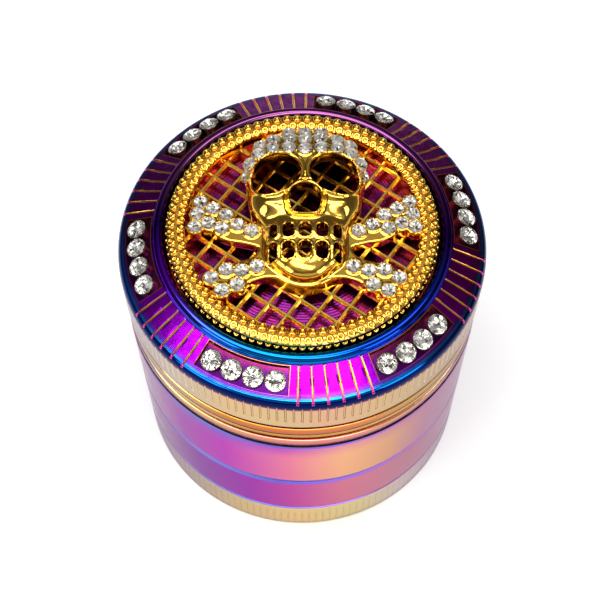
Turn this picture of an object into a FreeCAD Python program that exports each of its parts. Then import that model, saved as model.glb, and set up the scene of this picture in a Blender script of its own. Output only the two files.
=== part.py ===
import FreeCAD, Part
import math
import os
import re
import Sketcher

# A four-piece hand grinder: a press-on lid with cast teeth, a grinding chamber, a storage
# chamber with a screen and a shallow bottom cup. Millimetres, +Z up, the base on Z = 0 and
# the common axis on the Z axis. The lid carries a raised medallion set with clear stones.

doc = FreeCAD.newDocument("grinder")

SIZES = {
    # common body
    "body_radius": 25.0,
    "seam": 0.1,
    "foot_chamfer": 0.6,
    "edge_chamfer": 0.25,
    "wide_chamfer": 0.5,
    # screw joints: plain spigots that stand for the threads
    "spigot_radius": 22.6,
    "spigot_bore": 20.6,
    "socket_radius": 22.9,
    # bottom cup
    "cup_top": 7.4,
    "cup_floor": 1.6,
    "cup_ledge": 3.4,
    "cup_bore": 21.4,
    "cup_floor_radius": 20.2,
    # storage chamber
    "storage_top": 18.4,
    "storage_spigot_end": 3.8,
    "storage_bore": 21.5,
    "storage_ledge": 14.0,
    "screen_seat": 8.0,
    "screen_seat_bore": 20.0,
    "screen_seat_depth": 1.0,
    "screen_radius": 21.3,
    "screen_thickness": 0.3,
    "retainer_radius": 20.9,
    "retainer_wire": 0.4,
    # grinding chamber
    "grinding_top": 31.4,
    "grinding_spigot_end": 14.3,
    "grinding_underside": 24.5,
    "grinding_floor": 27.0,
    "grinding_bore": 20.8,
    "rim_radius": 22.3,
    "rim_top": 36.5,
    "post_radius": 6.2,
    "post_top": 33.4,
    "magnet_radius": 5.0,
    "magnet_height": 3.0,
    "magnet_pocket": 5.05,
    "drop_hole_ring": 14.0,
    "drop_hole_radius": 1.9,
    "outer_hole_ring": 18.3,
    "outer_hole_radius": 1.4,
    # lid
    "lid_bottom": 31.6,
    "lid_band_radius": 24.9,
    "lid_groove_radius": 24.2,
    "lower_groove_bottom": 33.6,
    "lower_groove_top": 34.6,
    "upper_groove_bottom": 37.3,
    "upper_groove_top": 38.3,
    "lid_bore": 21.2,
    "lid_step": 37.5,
    "lid_ceiling": 42.0,
    "lid_boss_bottom": 35.0,
    "rim_level": 43.8,
    "rim_round_radius": 24.85,
    "rim_round_level": 44.75,
    "bezel_radius": 24.45,
    "bezel_level": 45.2,
    "bead_outer_radius": 20.1,
    "bead_level": 47.15,
    "bead_crest_radius": 19.3,
    "bead_crest": 47.9,
    "recess_radius": 18.5,
    "recess_floor": 45.2,
    "friction_ring_inner": 20.9,
    "friction_ring_outer": 22.2,
    "friction_ring_height": 0.8,
    # bezel pockets and their stones
    "pocket_outer_radius": 23.5,
    "pocket_inner_radius": 20.6,
    "pocket_depth": 0.4,
    "pocket_angle": 32.0,
    "pocket_turn": 10.0,
    "bezel_stone_ring": 21.95,
    "bezel_stone_radius": 1.4,
    "bezel_stone_height": 1.0,
    "bezel_stone_step": 7.5,
    # teeth
    "tooth_half_length": 1.8,
    "tooth_half_width": 1.2,
    "tooth_tip_scale": 0.8,
    "chamber_tooth_height": 13.5,
    "lid_tooth_height": 13.5,
    "outer_tooth_ring": 17.6,
    "middle_tooth_ring": 14.0,
    "inner_tooth_ring": 10.4,
    # filigree plate
    "filigree_radius": 18.25,
    "filigree_band_inner": 16.0,
    "filigree_band_shoulder": 47.6,
    "filigree_crest_radius": 17.1,
    "filigree_crest": 48.7,
    "lattice_top": 47.2,
    "lattice_thickness": 0.6,
    "lattice_bar": 0.55,
    "lattice_pitch": 2.95,
    "lattice_turn": 54.7,
    # skull and crossbones
    "skull_centre_x": 0.38,
    "skull_centre_y": 7.6,
    "skull_radius": 8.3,
    "skull_shoulder": 49.4,
    "skull_crown": 51.6,
    "skull_wall": 0.8,
    "jaw_centre_y": -1.9,
    "jaw_half_width": 6.0,
    "jaw_half_length": 7.4,
    "eye_spacing": 3.8,
    "eye_centre_y": 6.2,
    "eye_half_width": 3.2,
    "eye_half_height": 3.0,
    "eye_tilt": 14.0,
    "nose_centre_y": 2.3,
    "nose_radius": 2.1,
    "tooth_window_pitch": 2.1,
    "tooth_window_width": 1.5,
    "tooth_window_height": 1.9,
    "upper_window_y": -2.6,
    "lower_window_y": -5.5,
    "bone_thickness": 1.6,
    "bone_corner": 0.9,
    "charm_stone_radius": 0.9,
    "charm_stone_height": 0.7,
}

sheet = doc.addObject("Spreadsheet::Sheet", "Sizes")
for row, (alias, size) in enumerate(SIZES.items(), start=1):
    sheet.set(f"A{row}", alias)
    sheet.set(f"B{row}", str(size))
    sheet.setAlias(f"B{row}", alias)
doc.recompute()

parts = []


def bound(formula):
    """The formula as an expression on the sheet: each plain word is one of its aliases."""
    return re.sub(r"[a-z_]{2,}", lambda word: "Sizes." + word.group(), formula)


def size(formula):
    """The formula's value."""
    return float(sheet.evalExpression(bound(formula)))


def keep(item, label):
    """Name a finished sub-part and list it for export."""
    item.Label = label
    parts.append(item)
    return item


def origin_feature(body, role):
    """One of the body's own origin planes or axes."""
    return next(item for item in body.Origin.OriginFeatures if item.Role == role)


# ---- shapes turned about the axis -------------------------------------------------------


def pin_point(sketch, line, end, formulas):
    """Hold one end of a line at a radius and a height that come from the sheet."""
    for formula, kind, axis in zip(formulas, ("DistanceX", "DistanceY"), (-2, -1)):
        if formula == "0":
            sketch.addConstraint(Sketcher.Constraint("PointOnObject", line, end, axis))
            continue
        distance = Sketcher.Constraint(kind, -1, 1, line, end, size(formula))
        index = sketch.addConstraint(distance)
        sketch.setExpression(f"Constraints[{index}]", bound(formula))


def profile(body, outline):
    """A closed sketch on the XZ plane. Each corner is (radius, height); a third item is the
    middle point of an arc that leads from this corner to the next."""
    sketch = body.newObject("Sketcher::SketchObject", "Profile")
    sketch.AttachmentSupport = (origin_feature(body, "XZ_Plane"), [""])
    sketch.MapMode = "FlatFace"
    corners = [FreeCAD.Vector(size(c[0]), size(c[1]), 0) for c in outline]
    count = len(outline)
    ends = []
    for index, corner in enumerate(outline):
        start, stop = corners[index], corners[(index + 1) % count]
        if len(corner) == 2:
            sketch.addGeometry(Part.LineSegment(start, stop), False)
            ends.append((1, 2))
            continue
        middle = FreeCAD.Vector(size(corner[2][0]), size(corner[2][1]), 0)
        arc = Part.Arc(start, middle, stop)
        sketch.addGeometry(arc, False)
        # a sketch stores arcs anticlockwise, so a clockwise one has its ends exchanged
        clockwise = (middle - start).cross(stop - middle).z < 0
        ends.append((2, 1) if clockwise else (1, 2))
    for index in range(count):
        following = (index + 1) % count
        joined = (index, ends[index][1], following, ends[following][0])
        sketch.addConstraint(Sketcher.Constraint("Coincident", *joined))
    for index, corner in enumerate(outline):
        pin_point(sketch, index, ends[index][0], corner[:2])
        if len(corner) == 3:
            radius = sketch.Geometry[index].Radius
            sketch.addConstraint(Sketcher.Constraint("Radius", index, radius))
    return sketch


def turned(label, outline):
    """A body turned from one outline about the Z axis."""
    body = doc.addObject("PartDesign::Body", label)
    sketch = profile(body, outline)
    revolution = body.newObject("PartDesign::Revolution", "Turned")
    revolution.Profile = sketch
    revolution.ReferenceAxis = (sketch, ["V_Axis"])
    revolution.Angle = 360.0
    sketch.Visibility = False
    doc.recompute()
    return keep(body, label)


def drill_ring(body, ring, radius, start, count):
    """A polar pattern of round holes through the grinding floor."""
    before = body.Shape.Volume
    sketch = body.newObject("Sketcher::SketchObject", "Hole")
    sketch.AttachmentSupport = (origin_feature(body, "XY_Plane"), [""])
    sketch.MapMode = "FlatFace"
    sketch.AttachmentOffset.Base.z = size("grinding_floor")
    sketch.setExpression(".AttachmentOffset.Base.z", bound("grinding_floor"))
    angle = math.radians(start)
    place = FreeCAD.Vector(math.cos(angle), math.sin(angle), 0) * size(ring)
    circle = Part.Circle(place, FreeCAD.Vector(0, 0, 1), size(radius))
    sketch.addGeometry(circle, False)
    index = sketch.addConstraint(Sketcher.Constraint("Radius", 0, size(radius)))
    sketch.setExpression(f"Constraints[{index}]", bound(radius))
    for kind, share in (("DistanceX", math.cos(angle)), ("DistanceY", math.sin(angle))):
        if abs(share) > 1e-6:
            distance = Sketcher.Constraint(kind, -1, 1, 0, 3, size(ring) * share)
            index = sketch.addConstraint(distance)
            sketch.setExpression(f"Constraints[{index}]", f"{bound(ring)} * {share:.6f}")
    if abs(math.sin(angle)) <= 1e-6:
        sketch.addConstraint(Sketcher.Constraint("PointOnObject", 0, 3, -1))
    pocket = body.newObject("PartDesign::Pocket", "Drilled")
    pocket.Profile = sketch
    pocket.setExpression("Length", bound("grinding_floor - grinding_underside"))
    sketch.Visibility = False
    doc.recompute()
    pattern = body.newObject("PartDesign::PolarPattern", "Holes")
    pattern.Originals = [pocket]
    pattern.Axis = (origin_feature(body, "Z_Axis"), [""])
    pattern.Angle = 360.0
    pattern.Occurrences = count
    body.Tip = pattern
    doc.recompute()
    hole = math.pi * size(radius) ** 2 * size("grinding_floor - grinding_underside")
    removed = before - body.Shape.Volume
    assert abs(removed - count * hole) < 0.02 * removed, "the drop holes are not all cut"


def make_bottom_cup():
    turned("bottom_cup", [
        ("0", "0"),
        ("body_radius - foot_chamfer", "0"),
        ("body_radius", "foot_chamfer"),
        ("body_radius", "cup_top - edge_chamfer"),
        ("body_radius - edge_chamfer", "cup_top"),
        ("socket_radius", "cup_top"),
        ("socket_radius", "cup_ledge"),
        ("cup_bore", "cup_ledge"),
        ("cup_floor_radius", "cup_floor"),
        ("0", "cup_floor"),
    ])


def make_storage_chamber():
    turned("storage_chamber", [
        ("spigot_bore", "storage_spigot_end"),
        ("spigot_radius - edge_chamfer", "storage_spigot_end"),
        ("spigot_radius", "storage_spigot_end + edge_chamfer"),
        ("spigot_radius", "cup_top + seam"),
        ("body_radius - edge_chamfer", "cup_top + seam"),
        ("body_radius", "cup_top + seam + edge_chamfer"),
        ("body_radius", "storage_top - wide_chamfer"),
        ("body_radius - wide_chamfer", "storage_top"),
        ("socket_radius", "storage_top"),
        ("socket_radius", "storage_ledge"),
        ("storage_bore", "storage_ledge"),
        ("storage_bore", "screen_seat"),
        ("screen_seat_bore", "screen_seat"),
        ("screen_seat_bore", "screen_seat - screen_seat_depth"),
        ("spigot_bore", "screen_seat - screen_seat_depth"),
    ])


def make_grinding_chamber():
    body = turned("grinding_chamber", [
        ("0", "grinding_underside"),
        ("spigot_bore", "grinding_underside"),
        ("spigot_bore", "grinding_spigot_end"),
        ("spigot_radius - edge_chamfer", "grinding_spigot_end"),
        ("spigot_radius", "grinding_spigot_end + edge_chamfer"),
        ("spigot_radius", "storage_top + seam"),
        ("body_radius - edge_chamfer", "storage_top + seam"),
        ("body_radius", "storage_top + seam + edge_chamfer"),
        ("body_radius", "grinding_top - edge_chamfer"),
        ("body_radius - edge_chamfer", "grinding_top"),
        ("rim_radius", "grinding_top"),
        ("rim_radius", "rim_top"),
        ("grinding_bore", "rim_top"),
        ("grinding_bore", "grinding_floor"),
        ("post_radius", "grinding_floor"),
        ("post_radius", "post_top"),
        ("magnet_pocket", "post_top"),
        ("magnet_pocket", "post_top - magnet_height"),
        ("0", "post_top - magnet_height"),
    ])
    drill_ring(body, "drop_hole_ring", "drop_hole_radius", 0.0, 16)
    drill_ring(body, "outer_hole_ring", "outer_hole_radius", 0.0, 12)


def make_pockets(body):
    """Six shallow pockets, parallel to the bezel's cone, for the stones."""
    before = body.Shape.Volume
    sketch = body.newObject("Sketcher::SketchObject", "PocketProfile")
    sketch.AttachmentSupport = (origin_feature(body, "XZ_Plane"), [""])
    sketch.MapMode = "FlatFace"
    slope = "((bead_level - bezel_level) / (bezel_radius - bead_outer_radius))"
    outer = f"bezel_level + (bezel_radius - pocket_outer_radius) * {slope}"
    inner = f"bezel_level + (bezel_radius - pocket_inner_radius) * {slope}"
    outline = [
        ("pocket_outer_radius", f"{outer} - pocket_depth"),
        ("pocket_outer_radius", f"{outer} + pocket_depth"),
        ("pocket_inner_radius", f"{inner} + pocket_depth"),
        ("pocket_inner_radius", f"{inner} - pocket_depth"),
    ]
    corners = [FreeCAD.Vector(size(x), size(z), 0) for x, z in outline]
    for index in range(4):
        line = Part.LineSegment(corners[index], corners[(index + 1) % 4])
        sketch.addGeometry(line, False)
    for index in range(4):
        joined = Sketcher.Constraint("Coincident", index, 2, (index + 1) % 4, 1)
        sketch.addConstraint(joined)
    for index, formulas in enumerate(outline):
        pin_point(sketch, index, 1, formulas)
    first = size("pocket_turn - pocket_angle / 2")
    sketch.AttachmentOffset.Rotation = FreeCAD.Rotation(FreeCAD.Vector(0, 1, 0), first)
    groove = body.newObject("PartDesign::Groove", "Pocket")
    groove.Profile = sketch
    groove.ReferenceAxis = (sketch, ["V_Axis"])
    groove.setExpression("Angle", bound("pocket_angle"))
    sketch.Visibility = False
    doc.recompute()
    pattern = body.newObject("PartDesign::PolarPattern", "Pockets")
    pattern.Originals = [groove]
    pattern.Axis = (origin_feature(body, "Z_Axis"), [""])
    pattern.Angle = 360.0
    pattern.Occurrences = 6
    body.Tip = pattern
    doc.recompute()
    assert body.Shape.Volume < before - 50, "the bezel pockets are not all cut"


def make_lid_shell():
    body = turned("lid_shell", [
        ("socket_radius - 0.3", "lid_bottom"),
        ("lid_band_radius", "lid_bottom"),
        ("lid_band_radius", "lower_groove_bottom"),
        ("lid_groove_radius", "lower_groove_bottom"),
        ("lid_groove_radius", "lower_groove_top"),
        ("lid_band_radius", "lower_groove_top"),
        ("lid_band_radius", "upper_groove_bottom"),
        ("lid_groove_radius", "upper_groove_bottom"),
        ("lid_groove_radius", "upper_groove_top"),
        ("body_radius", "upper_groove_top"),
        ("body_radius", "rim_level", ("rim_round_radius", "rim_round_level")),
        ("bezel_radius", "bezel_level"),
        ("bead_outer_radius", "bead_level", ("bead_crest_radius", "bead_crest")),
        ("recess_radius", "bead_level"),
        ("recess_radius", "recess_floor"),
        ("0", "recess_floor"),
        ("0", "lid_boss_bottom + magnet_height"),
        ("magnet_pocket", "lid_boss_bottom + magnet_height"),
        ("magnet_pocket", "lid_boss_bottom"),
        ("post_radius", "lid_boss_bottom"),
        ("post_radius", "lid_ceiling"),
        ("lid_bore", "lid_ceiling"),
        ("lid_bore", "lid_step"),
        ("socket_radius - 0.3", "lid_step"),
    ])
    make_pockets(body)


# ---- primitives -------------------------------------------------------------------------


def disc(label, radius, height, level):
    """A plain disc on the axis."""
    cylinder = doc.addObject("Part::Cylinder", label)
    cylinder.setExpression("Radius", bound(radius))
    cylinder.setExpression("Height", bound(height))
    cylinder.setExpression(".Placement.Base.z", bound(level))
    return keep(cylinder, label)


def make_screen_retaining_ring():
    ring = doc.addObject("Part::Torus", "screen_retaining_ring")
    ring.setExpression("Radius1", bound("retainer_radius"))
    ring.setExpression("Radius2", bound("retainer_wire"))
    level = "screen_seat + screen_thickness + retainer_wire"
    ring.setExpression(".Placement.Base.z", bound(level))
    keep(ring, "screen_retaining_ring")


def make_friction_ring():
    outer = doc.addObject("Part::Cylinder", "FrictionRingOuter")
    outer.setExpression("Radius", bound("friction_ring_outer"))
    inner = doc.addObject("Part::Cylinder", "FrictionRingInner")
    inner.setExpression("Radius", bound("friction_ring_inner"))
    for cylinder in (outer, inner):
        cylinder.setExpression("Height", bound("friction_ring_height"))
        cylinder.setExpression(".Placement.Base.z", bound("rim_top + seam"))
    ring = doc.addObject("Part::Cut", "friction_ring")
    ring.Base = outer
    ring.Tool = inner
    keep(ring, "friction_ring")


def make_inner_discs():
    disc("pollen_screen", "screen_radius", "screen_thickness", "screen_seat")
    disc("chamber_magnet", "magnet_radius", "magnet_height", "post_top - magnet_height")
    disc("lid_magnet", "magnet_radius", "magnet_height", "lid_boss_bottom")


# ---- shapes made from the sheet by Part's own functions ---------------------------------


def feature(label, shape):
    """A sub-part whose shape is worked out here."""
    item = doc.addObject("Part::Feature", label)
    item.Shape = shape
    item.Placement = FreeCAD.Placement()
    return keep(item, label)


def tooth(ring, angle, base, height):
    """One diamond-shaped tooth, its long diagonal along the ring, thinner at its tip."""
    wires = []
    for level, scale in ((base, 1.0), (base + height, size("tooth_tip_scale"))):
        radial = size("tooth_half_width") * scale
        along = size("tooth_half_length") * scale
        corners = [(radial, 0), (0, along), (-radial, 0), (0, -along), (radial, 0)]
        points = [FreeCAD.Vector(ring + x, y, level) for x, y in corners]
        wires.append(Part.makePolygon(points))
    solid = Part.makeLoft(wires, True)
    solid.rotate(FreeCAD.Vector(), FreeCAD.Vector(0, 0, 1), angle)
    return solid


def tooth_ring(ring, count, base, height):
    """A ring of teeth that starts half a step from the X axis."""
    step = 360.0 / count
    return [tooth(ring, step * (i + 0.5), base, height) for i in range(count)]


def make_teeth():
    height = size("chamber_tooth_height")
    floor = size("grinding_floor")
    outer = tooth_ring(size("outer_tooth_ring"), 12, floor, height)
    inner = tooth_ring(size("inner_tooth_ring"), 8, floor, height)
    feature("chamber_teeth", Part.makeCompound(outer + inner))
    height = -size("lid_tooth_height")
    middle = tooth_ring(size("middle_tooth_ring"), 8, size("lid_ceiling"), height)
    feature("lid_teeth", Part.makeCompound(middle))


def stone(radius, height):
    """A round flat-backed stone on the XY plane: a girdle and a faceted crown's cone."""
    girdle = Part.makeCylinder(radius, 0.3 * height)
    lift = FreeCAD.Vector(0, 0, 0.3 * height)
    crown = Part.makeCone(radius, 0.55 * radius, 0.7 * height, lift)
    return girdle.fuse(crown).removeSplitter()


def make_bezel_stones():
    """Six rows of four stones, square to the pockets' sloping floors."""
    rise = size("bead_level - bezel_level")
    run = size("bezel_radius - bead_outer_radius")
    slope = math.degrees(math.atan2(rise, run))
    ring = size("bezel_stone_ring")
    level = size("bezel_level - pocket_depth")
    level += (size("bezel_radius") - ring) * rise / run
    for row in range(6):
        stones = []
        for place in range(4):
            one = stone(size("bezel_stone_radius"), size("bezel_stone_height"))
            one.rotate(FreeCAD.Vector(), FreeCAD.Vector(0, 1, 0), slope)
            one.translate(FreeCAD.Vector(ring, 0, level))
            angle = size("pocket_turn") + 60.0 * row
            angle += (place - 1.5) * size("bezel_stone_step")
            one.rotate(FreeCAD.Vector(), FreeCAD.Vector(0, 0, 1), angle)
            stones.append(one)
        feature(f"bezel_stones_{row + 1}", Part.makeCompound(stones))


def filigree_band():
    """The raised round-topped band that stands on the recess floor."""
    level = size("recess_floor")
    shoulder = size("filigree_band_shoulder")
    inner, outer = size("filigree_band_inner"), size("filigree_radius")
    corners = [(inner, shoulder), (inner, level), (outer, level), (outer, shoulder)]
    points = [FreeCAD.Vector(x, 0, z) for x, z in corners]
    crest = FreeCAD.Vector(size("filigree_crest_radius"), 0, size("filigree_crest"))
    top = Part.Arc(points[3], crest, points[0]).toShape()
    wire = Part.Wire(Part.makePolygon(points).Edges + [top])
    return Part.Face(wire).revolve(FreeCAD.Vector(), FreeCAD.Vector(0, 0, 1), 360)


def lattice():
    """Two crossing sets of parallel bars, trimmed to the band."""
    reach = size("filigree_band_inner + 0.5")
    pitch, width = size("lattice_pitch"), size("lattice_bar")
    thickness, top = size("lattice_thickness"), size("lattice_top")
    bars = []
    for turn in (0.0, 90.0):
        for index in range(-5, 6):
            corner = FreeCAD.Vector(-reach, index * pitch - width / 2, top - thickness)
            bar = Part.makeBox(2 * reach, width, thickness, corner)
            bar.rotate(FreeCAD.Vector(), FreeCAD.Vector(0, 0, 1), size("lattice_turn") + turn)
            bars.append(bar)
    grid = bars[0].multiFuse(bars[1:])
    base = FreeCAD.Vector(0, 0, top - thickness)
    return grid.common(Part.makeCylinder(reach, thickness, base))


def make_filigree_plate():
    plate = filigree_band().fuse(lattice()).removeSplitter()
    feature("filigree_plate", plate)


def ellipse_prism(centre, half_x, half_y, turn, low, high):
    """An upright prism with an elliptical section."""
    flip = half_y > half_x
    major, minor = max(half_x, half_y), min(half_x, half_y)
    edge = Part.Ellipse(FreeCAD.Vector(), major, minor).toShape()
    face = Part.Face(Part.Wire(edge))
    prism = face.extrude(FreeCAD.Vector(0, 0, high - low))
    prism.rotate(FreeCAD.Vector(), FreeCAD.Vector(0, 0, 1), turn + (90 if flip else 0))
    prism.translate(FreeCAD.Vector(centre[0], centre[1], low))
    return prism


def dome(centre, radius, shoulder, crown, inset):
    """A ball whose cap rises from the shoulder to the crown, less the inset."""
    rise = crown - shoulder
    ball = (radius ** 2 + rise ** 2) / (2 * rise)
    middle = FreeCAD.Vector(centre[0], centre[1], crown - ball)
    return Part.makeSphere(ball - inset, middle)


def skull_form(inset):
    """The skull's upright walls and domed top, drawn in by the inset."""
    base = size("lattice_top")
    shoulder, crown = size("skull_shoulder"), size("skull_crown")
    middle = size("skull_centre_x")
    head = (middle, size("skull_centre_y"))
    radius = size("skull_radius")
    cranium = Part.makeCylinder(radius - inset, crown - base, FreeCAD.Vector(*head, base))
    cranium = cranium.common(dome(head, radius, shoulder, crown, inset))
    chin = (middle, size("jaw_centre_y"))
    half_width = size("jaw_half_width") - inset
    half_length = size("jaw_half_length") - inset
    jaw = ellipse_prism(chin, half_width, half_length, 0, base, crown)
    jaw = jaw.common(dome(chin, size("jaw_half_length"), shoulder, crown - 0.4, inset))
    return cranium.fuse(jaw)


def skull_openings():
    """Prisms for the eyes, the nose and two rows of tooth windows."""
    low, high = size("lattice_top"), size("skull_crown + 1")
    middle = size("skull_centre_x")
    cuts = []
    for side in (-1, 1):
        centre = (middle + side * size("eye_spacing"), size("eye_centre_y"))
        half_width, half_height = size("eye_half_width"), size("eye_half_height")
        tilt = -side * size("eye_tilt")
        cuts.append(ellipse_prism(centre, half_width, half_height, tilt, low, high))
    nose = FreeCAD.Vector(middle, size("nose_centre_y"), low)
    cuts.append(Part.makeCylinder(size("nose_radius"), high - low, nose))
    width, height = size("tooth_window_width"), size("tooth_window_height")
    for row in ("upper_window_y", "lower_window_y"):
        for column in (-1, 0, 1):
            x = middle + column * size("tooth_window_pitch") - width / 2
            corner = FreeCAD.Vector(x, size(row) - height / 2, low)
            cuts.append(Part.makeBox(width, height, high - low, corner))
    return cuts


# One upper and one lower bone, to the right of the skull's middle line; the left ones are
# their mirror images. Each outline runs from the skull out along the bone's lower side,
# round its end and back, and each row of stones is (first, last, how many).
BONE_OUTLINES = {
    "upper": ((5.0, -3.4), (8.6, -2.3), (14.9, -1.9), (14.6, 4.9), (12.8, 4.9), (5.0, 0.4)),
    "lower": ((4.0, -8.4), (7.4, -9.9), (10.3, -11.4), (13.0, -8.3), (12.4, -6.2), (4.0, -4.4)),
}
BONE_STONES = {
    "upper": (((7.1, -1.1), (13.4, 3.6), 5), ((11.2, -0.7), (13.8, 1.2), 2)),
    "lower": (((6.3, -6.3), (11.9, -7.8), 4), ((8.8, -9.1), (10.6, -9.8), 2)),
}
SIDES = {"left": -1, "right": 1}


def bone(level, side):
    """A flat bone end: its outline raised to a plate, the corners rounded."""
    base, middle = size("lattice_top"), size("skull_centre_x")
    corners = [FreeCAD.Vector(middle + side * x, y, base) for x, y in BONE_OUTLINES[level]]
    outline = Part.makePolygon(corners + corners[:1])
    plate = Part.Face(outline).extrude(FreeCAD.Vector(0, 0, size("bone_thickness")))
    upright = [edge for edge in plate.Edges if abs(edge.tangentAt(0).z) > 0.9]
    outer = [edge for edge in upright if abs(edge.Vertexes[0].X - middle) > 6.0]
    return plate.makeFillet(size("bone_corner"), outer)


def make_skull_and_crossbones():
    arms = [bone(level, side) for level in BONE_OUTLINES for side in SIDES.values()]
    hollow = skull_form(size("skull_wall"))
    shell = skull_form(0.0).cut(hollow)
    arms = arms[0].multiFuse(arms[1:]).cut(hollow)
    charm = shell.fuse(arms).cut(skull_openings()).removeSplitter()
    charm = max(charm.Solids, key=lambda solid: solid.Volume)
    feature("skull_and_crossbones", charm)


def charm_stone(x, y, level):
    """One small stone, upright, with its back at the level."""
    one = stone(size("charm_stone_radius"), size("charm_stone_height"))
    one.translate(FreeCAD.Vector(x, y, level))
    return one


def make_bone_stones():
    """Straight rows of stones on each bone's plate."""
    level, middle = size("lattice_top + bone_thickness"), size("skull_centre_x")
    for bone_name, rows in BONE_STONES.items():
        for side_name, side in SIDES.items():
            stones = []
            for first, last, count in rows:
                for place in range(count):
                    share = place / max(count - 1, 1)
                    x = first[0] + (last[0] - first[0]) * share
                    y = first[1] + (last[1] - first[1]) * share
                    stones.append(charm_stone(middle + side * x, y, level))
            feature(f"bone_stones_{bone_name}_{side_name}", Part.makeCompound(stones))


def arch(half_width, rise, reach, count):
    """Points spaced evenly along an arch of an ellipse, reach degrees to each side."""
    fine = [math.radians(90 + reach * (i / 200.0 - 1)) for i in range(401)]
    track = [(half_width * math.cos(a), rise * math.sin(a)) for a in fine]
    run = [0.0]
    for before, after in zip(track, track[1:]):
        run.append(run[-1] + math.dist(before, after))
    points = []
    for place in range(count):
        wanted = run[-1] * place / (count - 1)
        points.append(track[min(range(401), key=lambda i: abs(run[i] - wanted))])
    return points


def make_crown_stones():
    """Three arched rows of stones over the brow, standing on the dome."""
    middle, head_y = size("skull_centre_x"), size("skull_centre_y")
    shoulder, crown = size("skull_shoulder"), size("skull_crown")
    radius = size("skull_radius")
    rise = crown - shoulder
    ball = (radius ** 2 + rise ** 2) / (2 * rise)
    centre = FreeCAD.Vector(middle, head_y, crown - ball)
    places = [(x, y + 5.9) for x, y in arch(7.4, 4.2, 90.0, 11)]
    places += [(x, y + 7.5) for x, y in arch(6.2, 4.7, 62.0, 7)]
    places += [(x, y + 8.9) for x, y in arch(5.4, 5.2, 24.0, 3)]
    stones = []
    for x, y in places:
        flat = FreeCAD.Vector(x, y - head_y, 0)
        outward = FreeCAD.Vector(flat.x, flat.y, math.sqrt(ball ** 2 - flat.Length ** 2))
        one = stone(size("charm_stone_radius"), size("charm_stone_height"))
        lean = math.degrees(math.atan2(flat.Length, outward.z))
        one.rotate(FreeCAD.Vector(), FreeCAD.Vector(-flat.y, flat.x, 0), lean)
        one.translate(centre + outward * (1 + 0.01 / ball))
        stones.append(one)
    feature("crown_stones", Part.makeCompound(stones))


def check_and_export():
    """Refuse a failed document, then write each sub-part to a STEP file of its name."""
    doc.recompute()
    for item in doc.Objects:
        failed = {"Invalid", "Error"} & set(item.State)
        assert not failed, f"{item.Label} is {failed}"
    os.makedirs("parts", exist_ok=True)
    for item in parts:
        shape = item.Shape
        assert not shape.isNull() and shape.isValid(), f"{item.Label} has a bad shape"
        shape.exportStep(f"parts/{item.Label}.step")
        print(f"{item.Label}: {len(shape.Solids)} solids, {shape.Volume:.1f} mm3")


make_bottom_cup()
make_storage_chamber()
make_inner_discs()
make_screen_retaining_ring()
make_grinding_chamber()
make_friction_ring()
make_lid_shell()
make_teeth()
make_bezel_stones()
make_filigree_plate()
make_skull_and_crossbones()
make_bone_stones()
make_crown_stones()
check_and_export()
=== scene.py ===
import math

import bmesh
import bpy
import numpy as np
from mathutils import Matrix, Vector


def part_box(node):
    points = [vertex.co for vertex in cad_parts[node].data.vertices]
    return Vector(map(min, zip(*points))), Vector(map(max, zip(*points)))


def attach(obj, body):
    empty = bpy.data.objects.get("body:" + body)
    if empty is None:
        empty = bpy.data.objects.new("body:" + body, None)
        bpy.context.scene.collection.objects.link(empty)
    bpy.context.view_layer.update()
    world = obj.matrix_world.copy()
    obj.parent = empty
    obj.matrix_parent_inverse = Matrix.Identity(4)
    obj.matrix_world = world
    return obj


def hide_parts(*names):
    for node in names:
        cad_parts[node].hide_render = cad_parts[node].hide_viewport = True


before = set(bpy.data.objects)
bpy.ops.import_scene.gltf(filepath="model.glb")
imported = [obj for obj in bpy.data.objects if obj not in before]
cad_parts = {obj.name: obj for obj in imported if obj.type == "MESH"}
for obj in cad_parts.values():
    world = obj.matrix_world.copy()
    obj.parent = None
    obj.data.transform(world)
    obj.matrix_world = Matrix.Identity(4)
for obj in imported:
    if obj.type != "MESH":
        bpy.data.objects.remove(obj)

# The looks of a four-piece hand grinder. Shapes are drawn in millimetres in the row frame
# and written to the meshes in metres.

MM = 0.001
TAU = math.tau
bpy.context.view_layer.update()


def span(node):
    """A CAD node's lowest and highest corner, in millimetres."""
    low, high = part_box(node)
    return Vector(low) / MM, Vector(high) / MM


BODY_RADIUS = 25.0
CUP_TOP = span("bottom_cup")[1].z
STORAGE_FOOT, STORAGE_TOP = (corner.z for corner in span("storage_chamber"))
GRINDING_FOOT, RIM_TOP = (corner.z for corner in span("grinding_chamber"))
LID_FOOT, BEAD_CREST = (corner.z for corner in span("lid_shell"))
GRINDING_TOP = LID_FOOT - 0.2
SEAM = 0.1
RECESS_FLOOR = span("filigree_plate")[0].z
RECESS_RADIUS = 18.5
LATTICE_TOP = span("skull_and_crossbones")[0].z
MAGNET_TOP = span("chamber_magnet")[1].z
LID_MAGNET_FOOT = span("lid_magnet")[0].z


# ---- materials ----


def linear(code):
    """A hexadecimal sRGB colour as the linear colour that a socket holds."""
    shares = [int(code[i:i + 2], 16) / 255 for i in (0, 2, 4)]
    parts = [s / 12.92 if s <= 0.04045 else ((s + 0.055) / 1.055) ** 2.4 for s in shares]
    return (*parts, 1.0)


def set_stops(ramp, stops):
    """Fills a colour ramp: each stop is a place and a linear colour."""
    elements = ramp.elements
    elements[0].position, elements[1].position = stops[0][0], stops[-1][0]
    for place, _ in stops[1:-1]:
        elements.new(place)
    for element, (_, colour) in zip(elements, stops):
        element.color = colour


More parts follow.
